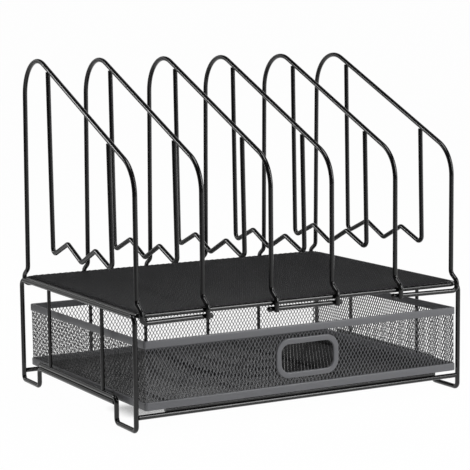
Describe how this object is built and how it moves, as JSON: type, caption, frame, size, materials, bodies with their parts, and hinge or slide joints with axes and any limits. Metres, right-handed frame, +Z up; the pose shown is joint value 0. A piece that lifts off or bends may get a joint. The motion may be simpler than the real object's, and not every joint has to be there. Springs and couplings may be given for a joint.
{
  "type": "desktop envelope sorter with drawer",
  "caption": "Black wire and expanded metal mesh desk sorter: a mesh shelf with clip-on wire divider racks over a mesh drawer with a ring pull.",
  "frame": {"origin": "on the ground at the middle of the footprint", "axes": "+X to the right seen from the drawer's front, +Y to the back, +Z up"},
  "size_m": [0.3362, 0.2598, 0.3098],
  "materials": {
    "wire_black": "gloss black paint over round steel wire",
    "mesh_black": "satin black paint over fine expanded steel mesh",
    "trim_graphite": "satin graphite paint over folded steel strip"
  },
  "bodies": {
    "frame": {"left_side_loop": "wire_black", "right_side_loop": "wire_black", "left_front_strut": "wire_black", "left_rear_strut": "wire_black", "right_front_strut": "wire_black", "right_rear_strut": "wire_black", "back_strut_outer_left": "wire_black", "back_strut_inner_left": "wire_black", "back_strut_inner_right": "wire_black", "back_strut_outer_right": "wire_black", "front_crosswire": "wire_black", "rear_crosswire": "wire_black", "shelf_rim": "wire_black", "support_front_wire": "wire_black", "support_run_outer_left": "wire_black", "support_run_inner_left": "wire_black", "support_run_inner_right": "wire_black", "support_run_outer_right": "wire_black", "left_rack_end_divider": "wire_black", "left_rack_inner_divider": "wire_black", "left_rack_end_zigzag": "wire_black", "left_rack_inner_zigzag": "wire_black", "right_rack_end_divider": "wire_black", "right_rack_inner_divider": "wire_black", "right_rack_end_zigzag": "wire_black", "right_rack_inner_zigzag": "wire_black", "middle_rack_left_divider": "wire_black", "middle_rack_right_divider": "wire_black", "middle_rack_left_zigzag": "wire_black", "middle_rack_right_zigzag": "wire_black", "middle_rack_front_rod": "wire_black", "middle_rack_rear_rod": "wire_black", "shelf_mesh": "mesh_black"},
    "drawer": {"drawer_front_mesh": "mesh_black", "drawer_rear_mesh": "mesh_black", "drawer_left_mesh": "mesh_black", "drawer_right_mesh": "mesh_black", "drawer_floor_mesh": "mesh_black", "drawer_rim_band": "trim_graphite", "drawer_base_band": "trim_graphite", "drawer_handle_ring": "trim_graphite"}
  },
  "joints": [
    {"name": "drawer_slide", "type": "slide", "parent": "frame", "child": "drawer", "axis": [0, -0.9999, 0.0129], "range_m": [0, 0.2]}
  ]
}
